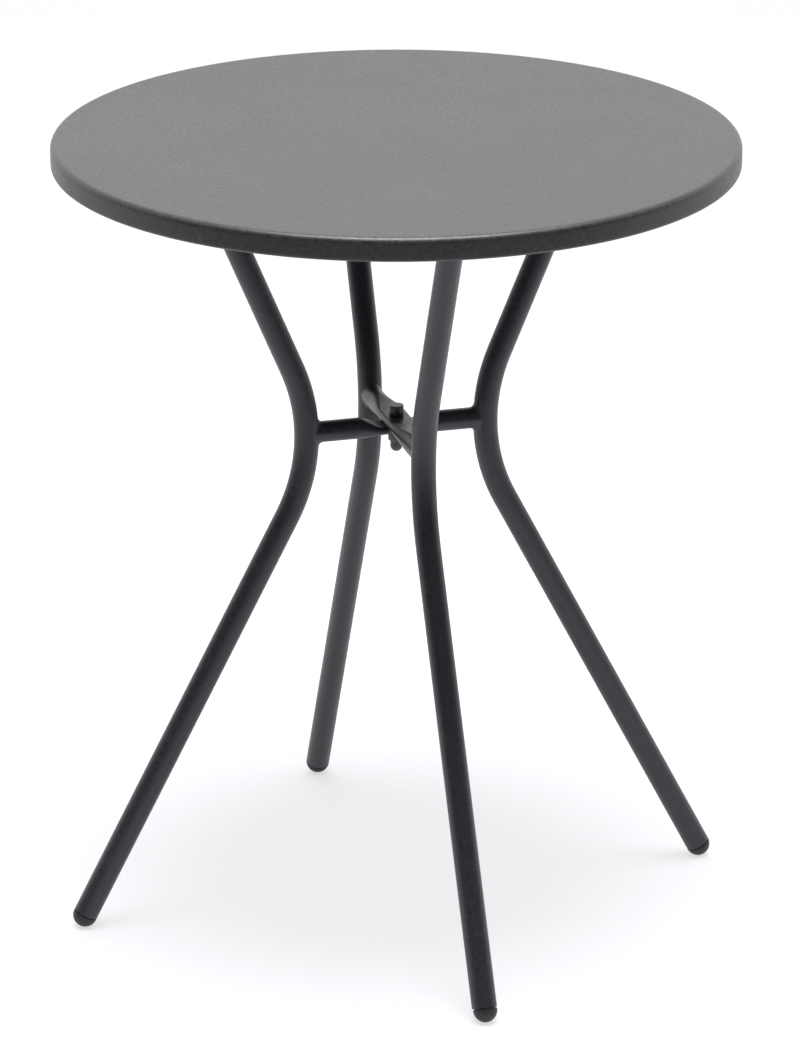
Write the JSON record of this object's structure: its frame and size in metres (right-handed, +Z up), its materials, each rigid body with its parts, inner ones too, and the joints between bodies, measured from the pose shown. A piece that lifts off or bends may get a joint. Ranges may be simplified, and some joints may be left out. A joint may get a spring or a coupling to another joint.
{
  "type": "bistro table",
  "caption": "Round bistro table with a pressed steel pan top on two crossed frames of waisted tube legs, bolted together at flattened stretchers, with domed foot plugs.",
  "frame": {"origin": "on the floor, under the centre of the round top", "axes": "+Z up; +X along the lower frame, through the right leg; +Y along the upper frame, through the back leg; the front leg stands towards -Y"},
  "size_m": [0.6056, 0.6, 0.716],
  "materials": {
    "powder_coat": "fine-textured satin powder coat, graphite grey",
    "plug_plastic": "matt moulded plastic, near black",
    "black_fastener": "black coated steel",
    "zinc_fastener": "zinc plated steel"
  },
  "bodies": {
    "root": {"top_panel": "powder_coat", "stiffener_long": "powder_coat", "stiffener_front": "powder_coat", "stiffener_back": "powder_coat", "stretcher_lower": "powder_coat", "stretcher_upper": "powder_coat", "leg_right": "powder_coat", "mounting_plate_right": "powder_coat", "plate_weld_right": "powder_coat", "stretcher_weld_right": "powder_coat", "leg_left": "powder_coat", "mounting_plate_left": "powder_coat", "plate_weld_left": "powder_coat", "stretcher_weld_left": "powder_coat", "leg_front": "powder_coat", "mounting_plate_front": "powder_coat", "plate_weld_front": "powder_coat", "stretcher_weld_front": "powder_coat", "leg_back": "powder_coat", "mounting_plate_back": "powder_coat", "plate_weld_back": "powder_coat", "stretcher_weld_back": "powder_coat", "foot_plug_right": "plug_plastic", "foot_plug_left": "plug_plastic", "foot_plug_front": "plug_plastic", "foot_plug_back": "plug_plastic", "centre_bolt": "black_fastener", "centre_washer": "black_fastener", "centre_cap_nut": "black_fastener", "plate_screws": "zinc_fastener", "plate_washers": "zinc_fastener", "weld_nuts": "zinc_fastener"}
  },
  "joints": []
}
